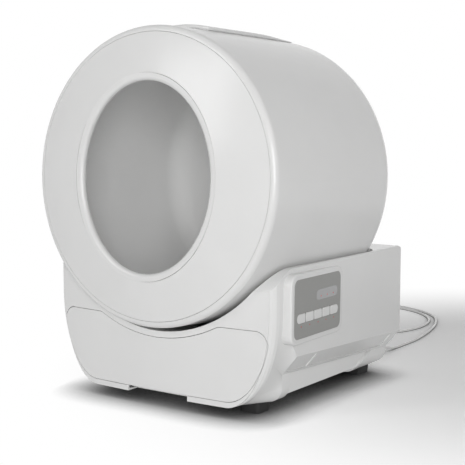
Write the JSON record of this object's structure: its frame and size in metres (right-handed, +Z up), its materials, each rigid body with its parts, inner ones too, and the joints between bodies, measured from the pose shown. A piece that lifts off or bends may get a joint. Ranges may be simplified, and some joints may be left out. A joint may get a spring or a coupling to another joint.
{
  "type": "self-cleaning litter box",
  "caption": "Self-cleaning pet litter box: a gear-driven drum with a domed front and oval entrance turns in a cradle base with a waste drawer, side control pod and rear motor tower.",
  "frame": {"origin": "on the floor, under the middle of the footprint without the power lead", "axes": "+Z up, -Y the way the entrance faces, +X to the right seen from the front"},
  "size_m": [0.6217, 1.1614, 0.6478],
  "materials": {
    "white_plastic": "fine matte moulding",
    "liner_grey": "matte, slightly textured",
    "panel_grey": "satin film",
    "window_grey": "smooth tinted window",
    "button_white": "satin",
    "lamp_red": "clear red lens",
    "rubber_dark": "matte",
    "gear_plastic": "moulded acetal",
    "dark_plastic": "matte",
    "steel": "machined",
    "board_green": "coated circuit board",
    "bush_bronze": "sintered",
    "bin_grey": "matte",
    "lead_pale": "smooth jacket"
  },
  "bodies": {
    "base": {"base_shell": "white_plastic", "base_floor": "white_plastic", "rubber_feet": "rubber_dark", "rear_tower": "white_plastic", "rear_cover": "white_plastic", "cover_screws": "steel", "hub_bush": "bush_bronze", "motor_bracket": "steel", "gearbox": "dark_plastic", "drive_motor": "steel", "roller_bracket_left": "gear_plastic", "roller_bracket_right": "gear_plastic", "roller_axle_left": "steel", "roller_axle_right": "steel", "drawer_runner_left": "gear_plastic", "drawer_runner_right": "gear_plastic", "control_pod": "white_plastic", "control_face": "panel_grey", "indicator_window": "window_grey", "status_lamps": "lamp_red", "control_board": "board_green", "tact_switches": "dark_plastic", "position_sensor": "dark_plastic", "dc_inlet": "dark_plastic", "power_plug": "lead_pale", "power_lead": "lead_pale", "wall_adapter": "lead_pale", "adapter_prongs": "steel"},
    "drum": {"drum_shell": "white_plastic", "drum_back": "white_plastic", "front_bezel": "white_plastic", "entrance_ring": "white_plastic", "litter_liner": "liner_grey", "sifting_rack": "liner_grey", "port_frame": "white_plastic", "shutter_rails": "gear_plastic", "ring_gear": "gear_plastic", "gear_screws": "steel", "hub_shaft": "gear_plastic", "position_magnets": "steel"},
    "shutter": {"waste_shutter": "liner_grey"},
    "pinion": {"drive_pinion": "gear_plastic", "motor_shaft": "steel"},
    "roller_left": {"roller_core_left": "gear_plastic", "roller_tyre_left": "rubber_dark"},
    "roller_right": {"roller_core_right": "gear_plastic", "roller_tyre_right": "rubber_dark"},
    "drawer": {"drawer_front": "white_plastic", "waste_bin": "bin_grey", "bag_frame": "bin_grey"},
    "button_1": {"button_1": "button_white"},
    "button_2": {"button_2": "button_white"},
    "button_3": {"button_3": "button_white"},
    "button_4": {"button_4": "button_white"},
    "button_5": {"button_5": "button_white"}
  },
  "joints": [
    {"name": "drum_spin", "type": "hinge", "parent": "base", "child": "drum", "pos_m": [0, 0, 0.3839], "axis": [0, 0.9993, -0.0384], "continuous": true},
    {"name": "shutter_slide", "type": "hinge", "parent": "drum", "child": "shutter", "pos_m": [0, 0, 0.3839], "axis": [0, 0.9993, -0.0384], "range_deg": [0, 27]},
    {"name": "pinion_spin", "type": "hinge", "parent": "base", "child": "pinion", "pos_m": [0.11491, 0.18616, 0.28026], "axis": [0, 0.9993, -0.0384], "continuous": true},
    {"name": "roller_left_spin", "type": "hinge", "parent": "base", "child": "roller_left", "pos_m": [-0.16515, -0.165, 0.1787], "axis": [0, 0.9993, -0.0384], "continuous": true},
    {"name": "roller_right_spin", "type": "hinge", "parent": "base", "child": "roller_right", "pos_m": [0.16515, -0.165, 0.1787], "axis": [0, 0.9993, -0.0384], "continuous": true},
    {"name": "drawer_slide", "type": "slide", "parent": "base", "child": "drawer", "axis": [0, -1, 0], "range_m": [0, 0.29]},
    {"name": "button_1_press", "type": "slide", "parent": "base", "child": "button_1", "axis": [-0.9976, -0.0698, 0], "range_m": [0, 0.001], "stiffness_N_per_m": 600, "springref_m": -0.0005},
    {"name": "button_2_press", "type": "slide", "parent": "base", "child": "button_2", "axis": [-0.9976, -0.0698, 0], "range_m": [0, 0.001], "stiffness_N_per_m": 600, "springref_m": -0.0005},
    {"name": "button_3_press", "type": "slide", "parent": "base", "child": "button_3", "axis": [-0.9976, -0.0698, 0], "range_m": [0, 0.001], "stiffness_N_per_m": 600, "springref_m": -0.0005},
    {"name": "button_4_press", "type": "slide", "parent": "base", "child": "button_4", "axis": [-0.9976, -0.0698, 0], "range_m": [0, 0.001], "stiffness_N_per_m": 600, "springref_m": -0.0005},
    {"name": "button_5_press", "type": "slide", "parent": "base", "child": "button_5", "axis": [-0.9976, -0.0698, 0], "range_m": [0, 0.001], "stiffness_N_per_m": 600, "springref_m": -0.0005}
  ],
  "couplings": [
    {"joint": "pinion_spin", "follows": "drum_spin", "ratio": 6},
    {"joint": "roller_left_spin", "follows": "drum_spin", "ratio": -15.747},
    {"joint": "roller_right_spin", "follows": "drum_spin", "ratio": -15.747}
  ]
}
